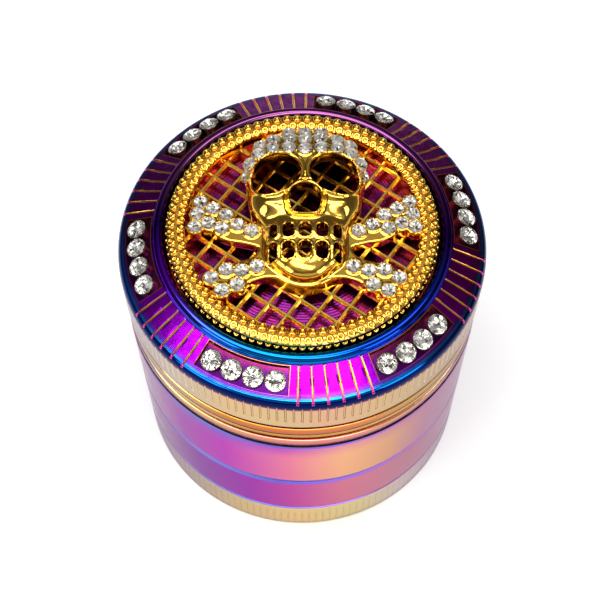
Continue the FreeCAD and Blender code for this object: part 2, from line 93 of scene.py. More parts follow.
class Paint:
    """A material under construction: one Principled shader and the nodes that feed it."""

    def __init__(self, name, **sockets):
        self.material = bpy.data.materials.new(name)
        self.material.use_nodes = True
        self.tree = self.material.node_tree
        self.shader = self.tree.nodes["Principled BSDF"]
        for socket, value in sockets.items():
            self.shader.inputs[socket.replace("_", " ")].default_value = value

    def node(self, kind, *sources, **settings):
        """A node with these settings; each source is a value or another node's output."""
        made = self.tree.nodes.new("ShaderNode" + kind)
        for key, value in settings.items():
            setattr(made, key, value)
        for socket, source in zip(made.inputs, sources):
            self.feed(source, socket)
        return made

    def named(self, kind, **sources):
        """A node whose inputs are given by name, with _ for a space."""
        made = self.tree.nodes.new("ShaderNode" + kind)
        for name, source in sources.items():
            self.feed(source, made.inputs[name.replace("_", " ")])
        return made

    def feed(self, source, socket):
        if isinstance(source, bpy.types.NodeSocket):
            self.tree.links.new(source, socket)
        else:
            socket.default_value = source

    def math(self, operation, *sources):
        return self.node("Math", *sources, operation=operation).outputs[0]

    def here(self):
        return self.node("TexCoord").outputs["Object"]

    def axes(self):
        """The object's own x, y and z, in metres."""
        return self.node("SeparateXYZ", self.here()).outputs

    def noise(self, scale, detail=2.0):
        made = self.named("TexNoise", Vector=self.here(), Scale=scale, Detail=detail)
        return made.outputs["Fac"]

    def azimuth(self, waver=0.02):
        """The angle about the axis, 0 to 1 from the left round by the front, with a waver."""
        x, y, _ = self.axes()
        turn = self.math("ARCTAN2", y, x)
        share = self.math("MULTIPLY_ADD", turn, 1 / TAU, 0.5)
        return self.math("MULTIPLY_ADD", self.noise(60.0), waver, share)

    def radius(self, centre=(0.0, 0.0)):
        """The distance in metres from the axis, or from a centre given in millimetres."""
        x, y = (self.math("SUBTRACT", a, c * MM) for a, c in zip(self.axes(), centre))
        both = self.math("MULTIPLY_ADD", y, y, self.math("MULTIPLY", x, x))
        return self.math("SQRT", both)

    def product(self, first, second):
        return self.mix(1.0, first, second, blend_type="MULTIPLY")

    def ramp(self, factor, stops):
        made = self.node("ValToRGB", factor)
        set_stops(made.color_ramp, [(place, linear(code)) for place, code in stops])
        return made.outputs["Color"]

    def mix(self, factor, first, second, **settings):
        made = self.node("Mix", data_type="RGBA", **settings)
        self.feed(factor, made.inputs["Factor"])
        self.feed(first, made.inputs[6])
        self.feed(second, made.inputs[7])
        return made.outputs[2]

    def colour(self, source):
        self.feed(source, self.shader.inputs["Base Color"])

    def roughen(self, low, high, scale):
        """Roughness that drifts between two values."""
        made = self.named("MapRange", Value=self.noise(scale, 4.0), From_Min=0.3, From_Max=0.7,
                          To_Min=low, To_Max=high)
        self.feed(made.outputs["Result"], self.shader.inputs["Roughness"])

    def bump(self, height, depth):
        """Small relief: height runs 0 to 1 and depth is in millimetres."""
        made = self.named("Bump", Height=height, Strength=1.0, Distance=depth * MM)
        self.feed(made.outputs["Normal"], self.shader.inputs["Normal"])

    def turned_lines(self, along, pitch, depth):
        """Fine tool marks across a coordinate, their strength uneven."""
        wave = self.math("SINE", self.math("MULTIPLY", along, TAU / (pitch * MM)))
        rough = self.math("MULTIPLY", wave, self.noise(900.0))
        self.bump(self.math("MULTIPLY_ADD", rough, 0.5, 0.5), depth)


def around(*stops):
    """Ramp stops given by azimuth in degrees from -180, closed at 180 by the first tint."""
    return [((angle + 180) / 360, code) for angle, code in (*stops, (180, stops[0][1]))]


def banded_plating(name, stops, roughness=(0.1, 0.2), lines=0.004, lower=None):
    """Plating whose tint runs round the body, partly its own colour and partly painted
    reflection of the lighting. With lower, (stops, low, high), it starts from those stops at
    the low level and has its own from the high level up, in millimetres."""
    paint = Paint(name, Metallic=1.0, Specular_Tint=(0.6, 0.5, 0.6, 1.0))
    azimuth = paint.azimuth()
    tint = paint.ramp(azimuth, stops)
    if lower:
        level = paint.named("MapRange", Value=paint.axes()[2], From_Min=lower[1] * MM,
                            From_Max=lower[2] * MM)
        level.interpolation_type = "SMOOTHSTEP"
        tint = paint.mix(level.outputs["Result"], paint.ramp(azimuth, lower[0]), tint)
    paint.colour(paint.node("Gamma", tint, 1.22).outputs[0])
    paint.roughen(*roughness, 300.0)
    paint.turned_lines(paint.axes()[2], 0.11, lines)
    return paint.material


def radial_plating(name, stops, side, roughness=(0.1, 0.18), lines=0.004, pitch=0.13,
                   dim=None):
    """Plating whose tint changes with the distance from the axis, times a tint by azimuth.
    It is dimmer within a few millimetres of the point dim: painted shade, which the recess floor
    takes under the skull's head."""
    paint = Paint(name, Metallic=1.0)
    first, last = stops[0][0], stops[-1][0]
    share = paint.math("MULTIPLY_ADD", paint.radius(), 1 / ((last - first) * MM),
                       -first / (last - first))
    share = paint.math("MULTIPLY_ADD", paint.noise(90.0), 0.06, share)
    along = paint.ramp(share, [((r - first) / (last - first), code) for r, code in stops])
    tint = paint.product(along, paint.ramp(paint.azimuth(0.05), side))
    # Painted shade: darker within a few millimetres of the point dim.
    if dim:
        near = paint.math("MULTIPLY", paint.radius(dim), 1 / (10.0 * MM))
        tint = paint.product(tint, paint.ramp(near, [(0.5, "6c4c50"), (0.85, "ffffff")]))
    paint.colour(tint)
    paint.roughen(*roughness, 300.0)
    paint.turned_lines(paint.radius(), pitch, lines)
    return paint.material


def gold_plating(name, bright="ffd864", deep="f6ae38", roughness=(0.07, 0.16)):
    """Polished gold plating over a casting."""
    paint = Paint(name, Metallic=1.0)
    paint.colour(paint.mix(paint.noise(350.0, 3.0), linear(bright), linear(deep)))
    paint.roughen(*roughness, 700.0)
    paint.bump(paint.noise(420.0, 2.0), 0.07)
    return paint.material


def plain_metal(name, light, dark, roughness, scale=500.0, bump=0.01):
    paint = Paint(name, Metallic=1.0)
    paint.colour(paint.mix(paint.noise(scale, 4.0), linear(light), linear(dark)))
    paint.roughen(*roughness, scale)
    paint.bump(paint.noise(2 * scale, 2.0), bump)
    return paint.material


def crystal(name):
    """Clear cut glass, with the faintest warm and cool drift."""
    paint = Paint(name, Transmission_Weight=1.0, IOR=1.58, Roughness=0.0)
    paint.colour(paint.mix(paint.noise(800.0), linear("ffffff"), linear("f2f6ff")))
    return paint.material


def foil(name, metallic):
    """The silvered back of a stone, lighter and darker from facet to facet: painted glints and dark
    reflections.
    """
    paint = Paint(name, Metallic=metallic, Roughness=0.08)
    shade = [(0.34, "5c5046"), (0.43, "fffaee"), (0.6, "fffdf6")]
    paint.colour(paint.ramp(paint.noise(2200.0, 1.0), shade))
    return paint.material


def nylon(name):
    paint = Paint(name, Subsurface_Weight=0.15)
    paint.shader.inputs["Subsurface Scale"].default_value = 0.001
    paint.colour(paint.mix(paint.noise(400.0, 4.0), linear("f3f2ec"), linear("dcdad0")))
    paint.roughen(0.35, 0.5, 600.0)
    paint.bump(paint.noise(2500.0, 3.0), 0.01)
    return paint.material


# Tints by azimuth for the body's bands: partly the plating's own colour, partly painted reflection
# of the lighting on each side.
GRINDING_TINT = around(
    (-180, "cfb6c4"), (-150, "c6a6be"), (-130, "bd74c6"), (-112, "cf62c9"), (-90, "ee98ac"),
    (-72, "f7c896"), (-57, "ecc394"), (-43, "d9b0bb"), (-10, "d8c4cc"), (60, "c79ad2"),
    (130, "b9a0dc"))
GRINDING_EDGE_TINT = around(
    (-180, "c9c2c8"), (-150, "b3a3b8"), (-130, "a596cf"), (-112, "9a84d8"), (-92, "c86ac6"),
    (-72, "eaa9ae"), (-50, "d8a9b0"), (-10, "d6c0c4"), (60, "b7a2da"))
STORAGE_TINT = around(
    (-180, "cdb4c2"), (-150, "af8cac"), (-125, "a168b8"), (-104, "b455c0"), (-90, "cf68b2"),
    (-72, "e294a6"), (-48, "daa8ac"), (-10, "dac0c8"), (60, "c08acb"), (130, "ab8ccf"))
JOINT_TINT = around(
    (-180, "cfc0cc"), (-150, "b090bc"), (-120, "8d90d6"), (-95, "7a78d2"), (-75, "a07fe0"),
    (-50, "b987bd"), (-10, "c8acb8"), (70, "9a90dd"))
KNURL_TINT = around(
    (-180, "d6d2c0"), (-150, "cfd0c2"), (-130, "dcd8bc"), (-110, "e6d09e"), (-92, "dec898"),
    (-80, "e2c09c"), (-62, "dfca9a"), (-40, "d8cca4"), (-10, "d8d0b2"), (90, "e0cc98"))
ORANGE_TINT = around(
    (-180, "cfc8b4"), (-150, "d3cdb4"), (-125, "dfc078"), (-110, "d69848"), (-90, "da8c52"),
    (-70, "df965c"), (-50, "d8b66c"), (-10, "d8cca0"), (90, "dca868"))
YELLOW_TINT = around(
    (-180, "ccc0a8"), (-130, "e6d6a4"), (-100, "cfa45c"), (-80, "d2a65e"), (-50, "e2bf7c"),
    (-10, "d4c8a0"), (90, "d8b878"))
PINK_TINT = around(
    (-180, "b8aeb0"), (-150, "bcaea8"), (-128, "e6c68c"), (-100, "dca088"), (-82, "e2988a"),
    (-60, "e0ae92"), (-40, "dab89c"), (-10, "d6c0b8"), (90, "e2a49c"))
CUP_TINT = around(
    (-180, "b8acbc"), (-150, "bab0ba"), (-130, "c8c2ac"), (-108, "e2d29c"), (-88, "f2dca0"),
    (-68, "ece4a8"), (-48, "e6e0d2"), (-20, "d8cad4"), (80, "d8ccac"))

BLUSH_TINT = around((-180, "a888a0"), (-130, "c06c9c"), (-60, "c05a90"), (0, "a890a0"))
BEAD_TINT = around(
    (-180, "3a1a70"), (-150, "7a20c8"), (-122, "2c68d0"), (-100, "1884cc"), (-80, "147cc8"),
    (-60, "1a50c4"), (-30, "2840ac"), (0, "3a1060"), (30, "6a3a70"), (90, "9a6090"),
    (150, "7a4a74"))
FRONT_LIT = around((-180, "8a6a9a"), (-140, "d0c0ff"), (-110, "ffffff"), (-50, "ffffff"),
                   (-20, "7a5a9a"), (90, "8a6a8a"))
# Painted light and shade on the bezel and its pockets: full at the front, where the key panel
# reflects, darker and yellower at the back and sides.
BEZEL_SIDE_SHADE = around((-180, "b0b090"), (-152, "d0d0d0"), (-130, "ffffff"), (-60, "ffffff"),
                     (-38, "b8b09c"), (0, "c0b080"), (90, "c8b494"))
EVEN_SIDES = around((-180, "ffffff"), (-90, "fff4ff"), (90, "fff0e8"))

RADIAL_TINTS = {
    # Rim: dark navy plating down its rounded outer edge, with a painted cyan highlight along its
    # top; FRONT_LIT is painted light, lighter at the front.
    "rim": ([(24.3, "0a9cf4"), (24.5, "0a6cd8"), (24.72, "06206c"), (25.0, "050f40")],
            FRONT_LIT, (0.08, 0.14), 0.002),
    # The bezel's last stop, cyan at 24.5 mm, carries the same painted highlight.
    "bezel": ([(20.0, "7a10c4"), (20.6, "b80cf0"), (23.6, "bc0af4"), (24.15, "723cf0"),
               (24.5, "14a0f4")], BEZEL_SIDE_SHADE, (0.14, 0.24), 0.01, 0.16),
    "well": ([(18.0, "1c1040"), (18.6, "10185c"), (25.0, "5a3c1c")], EVEN_SIDES, (0.12, 0.2)),
    # Recess floor: darker towards the middle, and darker still about (0.4, 9.0) mm under the
    # skull's head, both painted shade; orange towards its outer edge, a painted reflection of the
    # gold band.
    "floor": ([(0.0, "3c0c30"), (7.0, "4c1040"), (9.5, "7c2488"), (14.5, "8e2a7c"),
               (18.5, "d8604c")], EVEN_SIDES, (0.14, 0.24), 0.012, 0.13, (0.4, 9.0)),
    "pocket": ([(20.3, "b43c6c"), (21.4, "6c1c84"), (23.8, "601680")], BEZEL_SIDE_SHADE,
               (0.14, 0.24)),
    "line": ([(20.0, "f8c850"), (23.6, "ffc040"), (24.3, "ff6a78"), (24.8, "f04bb0")],
             EVEN_SIDES, (0.1, 0.2)),
    "edge": ([(20.2, "f0a050"), (23.8, "c08050")], EVEN_SIDES),
}

PAINTS = {name: banded_plating("plating_" + name, stops) for name, stops in (
    ("storage", STORAGE_TINT), ("joint", JOINT_TINT), ("orange", ORANGE_TINT),
    ("yellow", YELLOW_TINT), ("pink", PINK_TINT), ("blush", BLUSH_TINT))}
PAINTS |= {name: radial_plating("plating_" + name, *settings)
           for name, settings in RADIAL_TINTS.items()}
PAINTS |= {
    "grinding": banded_plating("plating_grinding", GRINDING_EDGE_TINT,
                               lower=(GRINDING_TINT, 27.0, 31.5)),
    "inside": banded_plating("plating_inside", GRINDING_TINT, (0.2, 0.34),
                             lower=(STORAGE_TINT, 2.0, 30.0)),
    "knurl": banded_plating("plating_knurl", KNURL_TINT, (0.14, 0.24)),
    "cup": banded_plating("plating_cup", CUP_TINT, (0.14, 0.26)),
    "bead": banded_plating("plating_bead", BEAD_TINT, (0.06, 0.12), 0.001),
    "gold": gold_plating("gold_cast"),
    "gold_bright": gold_plating("gold_granules", "ffdc6c", "fab43a", (0.06, 0.14)),
    "gold_lattice": gold_plating("gold_lattice", "ffe070", "fac048", (0.12, 0.24)),
    # Painted shade: a dark gold for the skull's hollow inside.
    "gold_painted_shade": gold_plating("gold_painted_shade", "74381c", "58240f", (0.3, 0.45)),
    "shadow": plain_metal("plating_shadow", "2a1c14", "140c0c", (0.3, 0.4)),
    "collar": plain_metal("stone_collar", "8a7058", "3c2f33", (0.2, 0.35)),
    "crystal": crystal("clear_stone"),
    "foil": foil("stone_foil", 0.75),
    "pale_foil": foil("stone_foil_pale", 0.64),
    "nickel": plain_metal("nickel_plate", "d8d6d0", "b8b6b2", (0.12, 0.28)),
    "steel": plain_metal("drawn_steel", "cfd1d4", "9ea1a6", (0.2, 0.35), 900.0),
    "nylon": nylon("white_nylon"),
}


# ---- meshes ----


def piece(name, body, points, faces, paints, indices=None, replaced=(), sharp=35.0):
    """One visible piece from points in millimetres. Points that meet are joined, and each
    face takes the paint that its index names."""
    mesh = bpy.data.meshes.new(name)
    mesh.from_pydata((np.asarray(points) * MM).tolist(), [], faces)
    for paint in paints:
        mesh.materials.append(PAINTS[paint])
    if indices is not None:
        mesh.polygons.foreach_set("material_index", np.asarray(indices, np.int32))
    work = bmesh.new()
    work.from_mesh(mesh)
    bmesh.ops.remove_doubles(work, verts=work.verts, dist=1e-7)
    bmesh.ops.recalc_face_normals(work, faces=work.faces)
    work.to_mesh(mesh)
    work.free()
    mesh.shade_smooth()
    if sharp < 1:
        mesh.shade_flat()
    else:
        mesh.set_sharp_from_angle(angle=math.radians(sharp))
    made = bpy.data.objects.new(name, mesh)
    bpy.context.scene.collection.objects.link(made)
    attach(made, body)
    if replaced:
        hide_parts(*replaced)
    return made


def path(paint, *corners):
    """Outline corners of one paint."""
    return [(radius, height, paint) for radius, height in corners]


def subdivide(outline, longest, closed):
    """The outline with its long straight steps cut into shorter ones."""
    corners = outline + outline[:1] if closed else outline
    finer = []
    for here, following in zip(corners, corners[1:]):
        length = math.dist(here[:2], following[:2])
        steps = max(1, math.ceil(length / longest))
        for step in range(steps):
            share = step / steps
            finer.append((here[0] + (following[0] - here[0]) * share,
                          here[1] + (following[1] - here[1]) * share, here[2]))
    return finer if closed else finer + [outline[-1]]


def turned(name, body, outline, turns, relief=None, repaint=None, closed=False,
           replaced=()):
    """A piece turned about the Z axis. Each outline corner is (radius, height, paint of the
    step to the next corner); relief moves the grid and repaint changes single faces."""
    turns = np.asarray(turns)
    radii, heights = (np.repeat([[c[i]] for c in outline], len(turns), 1) for i in (0, 1))
    if relief:
        radii, heights = relief(radii, heights, turns[None, :])
    points = np.stack([radii * np.cos(turns), radii * np.sin(turns), heights], -1)
    rows, columns = radii.shape
    row_steps = rows if closed else rows - 1
    i, j = np.meshgrid(np.arange(row_steps), np.arange(columns), indexing="ij")
    down, along = (i + 1) % rows, (j + 1) % columns
    quads = np.stack([i * columns + j, i * columns + along, down * columns + along,
                      down * columns + j], -1).reshape(-1, 4)
    paints = list(dict.fromkeys(c[2] for c in outline))
    indices = np.array([paints.index(outline[row][2]) for row in range(row_steps)])
    indices = np.repeat(indices[:, None], columns, 1)
    if repaint:
        following = np.append(turns[1:], turns[0] + TAU)
        middle = (turns + following) / 2
        mean_radius = (radii[i, j] + radii[down, j]) / 2
        mean_height = (heights[i, j] + heights[down, j]) / 2
        for paint, faces in repaint(mean_radius, mean_height, middle[None, :]):
            if paint not in paints:
                paints.append(paint)
            indices = np.where(faces, paints.index(paint), indices)
    return piece(name, body, points.reshape(-1, 3), quads.tolist(), paints,
                 indices.reshape(-1), replaced)


def even(count):
    return np.arange(count) * TAU / count


def refined(base, centres, offsets):
    """Even angles with extra ones about each centre, in degrees."""
    angles = set(np.round(np.arange(base) * 360 / base, 4) % 360)
    for centre in centres:
        angles |= {round((centre + offset) % 360, 4) for offset in offsets}
    ordered = sorted(angles)
    kept = [ordered[0]]
    for angle in ordered[1:]:
        if angle - kept[-1] > 0.04:
            kept.append(angle)
    return kept


def signed_turn(turns, centres):
    """Each angle's offset from the nearest centre, in radians."""
    offsets = np.stack([(turns - c + math.pi) % TAU - math.pi for c in np.radians(centres)])
    nearest = np.abs(offsets).argmin(0)
    return np.take_along_axis(offsets, nearest[None], 0)[0]


def thread(low, high, depth, pitch=1.5, outer=True, near=22.6):
    """A relief that winds a rounded screw thread round one wall between two heights."""
    def relief(radii, heights, turns):
        phase = (heights - low) / pitch - turns / TAU
        wave = np.abs((phase % 1.0) * 2 - 1)
        fade = np.clip(np.minimum(heights - low, high - heights) / 0.6, 0, 1)
        on_wall = np.abs(radii - near) < 0.05
        sign = -1.0 if outer else 1.0
        return radii + sign * depth * wave * fade * on_wall, heights
    return relief


def both(first, second):
    def relief(radii, heights, turns):
        return second(*first(radii, heights, turns), turns)
    return relief


# ---- the lid's rim and bezel ----

RIM_ROUND = [(24.96, 44.3), (24.9, 44.55), (24.8, 44.8), (24.66, 45.02), (24.47, 45.19)]
BEZEL_OUTER, BEZEL_INNER = (24.45, 45.2), (20.1, 47.15)
BEZEL_SLOPE = (BEZEL_INNER[1] - BEZEL_OUTER[1]) / (BEZEL_OUTER[0] - BEZEL_INNER[0])
POCKET_CENTRES = [10 + 60 * k for k in range(6)]
POCKET_HALF_ANGLE, POCKET_LOW, POCKET_HIGH = 15.6, 20.35, 23.8
POCKET_DEPTH, POCKET_WALL = 0.4, 0.1
LINE_CENTRES = [40 + 60 * k + 4.55 * (i - 2.5) for k in range(6) for i in range(6)]
LINE_HALF_WIDTH, LINE_DEPTH = 0.16, 0.11
LINE_REACH = 24.76


def pocket_edge(radii, turns):
    """How far inside the nearest pocket's outline each point is."""
    inside = np.minimum(radii - POCKET_LOW, POCKET_HIGH - radii)
    sideways = np.radians(POCKET_HALF_ANGLE) - np.abs(signed_turn(turns, POCKET_CENTRES))
    return np.minimum(inside, sideways * radii)


def line_depth(radii, turns):
    """The engraved lines: round-bottomed grooves of one width, with rounded outer ends."""
    across = signed_turn(turns, LINE_CENTRES) * radii
    beyond = np.maximum(np.maximum(radii - LINE_REACH, 20.3 - radii), 0)
    share = np.hypot(across, beyond) / LINE_HALF_WIDTH
    return LINE_DEPTH * np.sqrt(np.clip(1 - share ** 2, 0, 1))


def bezel_relief(radii, heights, turns):
    turns = np.broadcast_to(turns, radii.shape)
    on_top = (heights > 44.4) & (radii > 20.2)
    pocket = POCKET_DEPTH * np.clip(pocket_edge(radii, turns) / POCKET_WALL, 0, 1)
    sunk = pocket + line_depth(radii, turns)
    return radii, heights - np.where(on_top, sunk, 0)


def bezel_paint(radii, heights, turns):
    turns = np.broadcast_to(turns, radii.shape)
    on_top = (heights > 43.9) & (radii > 20.2)
    across = np.abs(signed_turn(turns, LINE_CENTRES)) * radii
    line = on_top & (across < LINE_HALF_WIDTH) & (radii < LINE_REACH) & (radii > 20.25)
    edge = pocket_edge(radii, turns)
    return [("pocket", on_top & (edge > POCKET_WALL)),
            ("edge", on_top & (np.abs(edge) < POCKET_WALL)), ("line", line)]


def make_bezel():
    mark_depth, mark_pitch = 0.024, 0.4
    floor = [(r, RECESS_FLOOR - mark_depth * (0.5 - 0.5 * math.cos(TAU * r / mark_pitch)),
              "floor") for r in np.arange(0, 18.3, 0.1)]
    well = path("well", (18.3, RECESS_FLOOR), (18.45, RECESS_FLOOR + 0.03),
                (RECESS_RADIUS, RECESS_FLOOR + 0.15), (RECESS_RADIUS, 46.4),
                (RECESS_RADIUS, 46.9))
    bead = [(19.3 - 0.8 * math.cos(a), 47.1 + 0.8 * math.sin(a), "bead" if a > 0.7 else "well")
            for a in np.radians(np.arange(0, 171, 9))]
    foot = [(20.12, 47.17, "bead"), (20.2, 47.1, "bezel")]
    radii = [20.28, 20.33, 20.35, 20.38, 20.42, 20.45, 20.48, 20.7, 21.0, 21.5, 22.0, 22.5,
             23.0, 23.4, 23.6, 23.68, 23.7, 23.74, 23.78, 23.8, 23.84, 24.1, 24.3]
    cone = [(r, BEZEL_OUTER[1] + (BEZEL_OUTER[0] - r) * BEZEL_SLOPE, "bezel") for r in radii]
    rim = path("rim", (24.4, 45.22), *RIM_ROUND[::-1])
    under = path("well", (24.93, 44.42), (24.0, 44.3), (24.0, 43.0), (0.0, 43.0))
    outline = floor + well + bead + foot + cone + rim + under
    degrees = set(refined(360, LINE_CENTRES, [k * 0.1 for k in range(-5, 6)]))
    for centre in POCKET_CENTRES:
        degrees |= {round((centre + s * POCKET_HALF_ANGLE + k * 0.09) % 360, 4)
                    for s in (-1, 1) for k in range(-5, 6)}
    turned("lid_bezel", "lid", outline, np.radians(sorted(degrees)),
           bezel_relief, bezel_paint, replaced=("lid_shell",))


# ---- the lid's side ----

KNURL_COUNT = 144
KNURL_LOW, KNURL_HIGH = 40.05, 44.02
KNURL_HALF_WIDTH, KNURL_DEPTH = 0.14, 0.15


def grooves(radii, heights, turns, low, high, depth):
    """How far upright round-ended grooves sink the outer wall at each point."""
    step = TAU / KNURL_COUNT
    across = ((turns + step / 2) % step - step / 2) * radii
    beyond = np.maximum(np.maximum(low - heights, heights - high), 0)
    share = np.hypot(across, beyond) / KNURL_HALF_WIDTH
    return np.where(radii > 24.8, depth * np.sqrt(np.clip(1 - share ** 2, 0, 1)), 0)


def knurl_relief(radii, heights, turns):
    return radii - grooves(radii, heights, turns, KNURL_LOW, KNURL_HIGH, KNURL_DEPTH), heights


def knurl_turns():
    """Angles that are close together across each groove."""
    spacing = [0, 0.05, 0.09, 0.12, 0.15, 0.19]
    offsets = [s * d / BODY_RADIUS for d in spacing for s in (-1, 1)][1:]
    step = TAU / KNURL_COUNT
    offsets = sorted(offsets + [step / 2])
    return [step * k + offset for k in range(KNURL_COUNT) for offset in offsets]


def make_knurled_band():
    levels = [38.42, 38.6, 39.3, 39.8, 39.88, 39.92, 39.98, 40.06, 40.6, 41.4, 42.2, 43.0]
    loop = [
        *path("knurl", (24.85, 38.3), (24.96, 38.34), *((25.0, z) for z in levels)),
        *path("blush", (25.0, 43.62)),
        *path("rim", (25.0, 43.84), (24.99, 44.05), (24.98, 44.14), (24.97, 44.22),
              (24.955, 44.3), (24.94, 44.4)),
        *path("well", (24.1, 44.28), (23.6, 43.0), (23.6, 38.3)),
    ]
    turned("lid_knurled_band", "lid", loop, knurl_turns(), knurl_relief,
           closed=True)


def make_lid_lower():
    band, groove = 24.9, 24.2
    outline = [
        *path("well", (0.0, 42.9), (23.5, 42.9), (23.5, 38.3), (24.15, 38.3)),
        *path("shadow", (groove, 38.2)),
        *path("yellow", (groove, 37.4)),
        *path("orange", (24.3, 37.3), (24.72, 37.3), (24.86, 37.24), (band, 37.1), (band, 35.78)),
        *path("well", (24.87, 35.7), (24.76, 35.64), (24.76, 35.56)),
        *path("yellow", (24.87, 35.5), (band, 35.42), (band, 34.78), (24.86, 34.66), (24.72, 34.6)),
        *path("shadow", (24.3, 34.6), (groove, 34.5)),
        *path("yellow", (groove, 33.7)),
        *path("pink", (24.3, 33.6), (24.72, 33.6), (24.86, 33.54), (band, 33.4)),
        *path("shadow", (band, 31.92), (24.8, 31.74), (24.6, LID_FOOT)),
        *path("inside", (23.4, LID_FOOT), (22.75, LID_FOOT), (22.6, 31.75), (22.6, 37.5),
              (21.35, 37.5), (21.2, 37.65), (21.2, 41.7), (20.9, 42.0), (6.5, 42.0), (6.2, 41.7),
              (6.2, 35.15), (6.05, LID_MAGNET_FOOT), (5.15, LID_MAGNET_FOOT), (5.05, 35.1),
              (5.05, 38.0), (0.0, 38.0)),
    ]
    turned("lid_lower_bands", "lid", subdivide(outline, 1.5, False),
           even(240))


# ---- the chambers and the cup ----


def shoulder(step):
    """The rounded foot edge of a chamber, from its thread out to its wall."""
    return path("joint", (22.7, step), (24.75, step), (24.93, step + 0.06),
                (BODY_RADIUS, step + 0.25))


def make_grinding_chamber():
    wall = BODY_RADIUS
    step = STORAGE_TOP + SEAM
    outline = [
        *path("inside", (0.0, 24.5), (20.3, 24.5), (20.6, 24.2), (20.6, 14.45),
              (20.75, GRINDING_FOOT), (22.35, GRINDING_FOOT), (22.6, 14.55), (22.6, step - 0.1)),
        *shoulder(step),
        *path("grinding", (wall, step + 0.6)),
        *path("joint", (wall, GRINDING_TOP - 0.5), (wall, GRINDING_TOP - 0.3)),
        *path("shadow", (24.92, GRINDING_TOP - 0.1), (24.7, GRINDING_TOP)),
        *path("inside", (23.4, GRINDING_TOP), (22.4, GRINDING_TOP), (22.3, 31.5),
              (22.3, RIM_TOP - 0.15), (22.15, RIM_TOP), (20.95, RIM_TOP), (20.8, 36.35),
              (20.8, 27.3), (20.5, 27.0), (6.5, 27.0), (6.2, 27.3), (6.2, 33.25),
              (6.05, MAGNET_TOP), (5.15, MAGNET_TOP), (5.05, 33.3), (5.05, 30.4), (0.0, 30.4)),
    ]
    outline = subdivide(outline, 0.25, False)
    outline = thin(outline, 22.6)
    made = turned("grinding_chamber_shell", "grinding", outline,
                  even(192), thread(14.6, 18.3, 0.22), replaced=("grinding_chamber",))
    drill(made, [(14.0, 1.9, 16), (18.3, 1.4, 12)], 23.0, 28.5)


def thin(outline, thread_radius):
    """Drops the fine steps of straight walls, except on the wall that carries a thread."""
    kept = [outline[0]]
    for before, here, after in zip(outline, outline[1:], outline[2:]):
        on_thread = abs(here[0] - thread_radius) < 0.01
        first = Vector((here[0] - kept[-1][0], here[1] - kept[-1][1]))
        second = Vector((after[0] - here[0], after[1] - here[1]))
        straight = first.length > 1e-6 and abs(first.normalized().dot(second.normalized())) > 0.9999
        if on_thread or not straight or first.length > 1.4 or here[2] != before[2]:
            kept.append(here)
    return kept + [outline[-1]]


def drill(made, rings, low, high):
    """Cuts rings of round holes; each ring is (radius, hole radius, how many)."""
    work = bmesh.new()
    for ring, radius, count in rings:
        for turn in even(count):
            place = Matrix.Translation(Vector((ring * math.cos(turn), ring * math.sin(turn),
                                               (low + high) / 2)) * MM)
            bmesh.ops.create_cone(work, cap_ends=True, segments=32, radius1=radius * MM,
                                  radius2=radius * MM, depth=(high - low) * MM, matrix=place)
    mesh = bpy.data.meshes.new("drill")
    work.to_mesh(mesh)
    work.free()
    tool = bpy.data.objects.new("drill", mesh)
    bpy.context.scene.collection.objects.link(tool)
    cut = made.modifiers.new("holes", "BOOLEAN")
    cut.operation = "DIFFERENCE"
    cut.object = tool
    cut.solver = "EXACT"
    bpy.context.view_layer.update()
    done = made.evaluated_get(bpy.context.evaluated_depsgraph_get())
    result = bpy.data.meshes.new_from_object(done)
    made.modifiers.clear()
    made.data = result
    result.set_sharp_from_angle(angle=math.radians(35))
    bpy.data.objects.remove(tool)


def make_storage_chamber():
    wall = BODY_RADIUS
    step = CUP_TOP + SEAM
    outline = [
        *path("inside", (20.75, STORAGE_FOOT), (22.35, STORAGE_FOOT), (22.6, 4.05),
              (22.6, step - 0.1)),
        *shoulder(step),
        *path("storage", (wall, step + 0.55)),
        *path("joint", (wall, STORAGE_TOP - 0.95), (24.97, STORAGE_TOP - 0.7),
              (24.86, STORAGE_TOP - 0.4), (24.66, STORAGE_TOP - 0.12), (24.4, STORAGE_TOP)),
        *path("inside", (23.1, STORAGE_TOP), (22.9, STORAGE_TOP - 0.2), (22.9, 14.1),
              (22.75, 14.0), (21.65, 14.0), (21.5, 13.85), (21.5, 8.0), (20.1, 8.0), (20.0, 7.9),
              (20.0, 7.1), (20.1, 7.0), (20.5, 7.0), (20.6, 6.9), (20.6, 3.95)),
    ]
    outline = subdivide(outline, 0.3, True)
    relief = both(thread(4.2, 7.3, 0.22), thread(14.3, 18.0, 0.15, outer=False, near=22.9))
    turned("storage_chamber_shell", "storage", outline, even(200),
           relief, closed=True, replaced=("storage_chamber",))


def cup_relief(radii, heights, turns):
    """Shallow upright flutes on the cup's wall, and the thread in its socket."""
    radii = radii - grooves(radii, heights, turns, low=1.9, high=6.3, depth=0.1)
    return thread(3.8, 7.0, 0.15, outer=False, near=22.9)(radii, heights, turns)


def make_cup():
    wall = BODY_RADIUS
    outline = [
        *path("cup", (0.0, 0.25), (21.8, 0.25), (22.1, 0.0), (24.3, 0.0), (24.62, 0.1),
              (24.9, 0.36), (wall, 0.68), (wall, 1.5), (wall, 1.7), (wall, 2.1), (wall, 6.2),
              (wall, 6.6)),
        *path("joint", (wall, CUP_TOP - 0.26), (24.93, CUP_TOP - 0.08), (24.72, CUP_TOP)),
        *path("inside", (23.1, CUP_TOP), (22.9, CUP_TOP - 0.2), (22.9, 3.5), (22.8, 3.4),
              (21.55, 3.4), (21.4, 3.25), (21.2, 2.5), (20.7, 1.85), (20.0, 1.6), (0.0, 1.6)),
    ]
    outline = subdivide(outline, 0.3, False)
    outline = thin(outline, 22.9)
    turned("cup_shell", "cup", outline, knurl_turns(), cup_relief,
           replaced=("bottom_cup",))


# ---- solids from a field ----


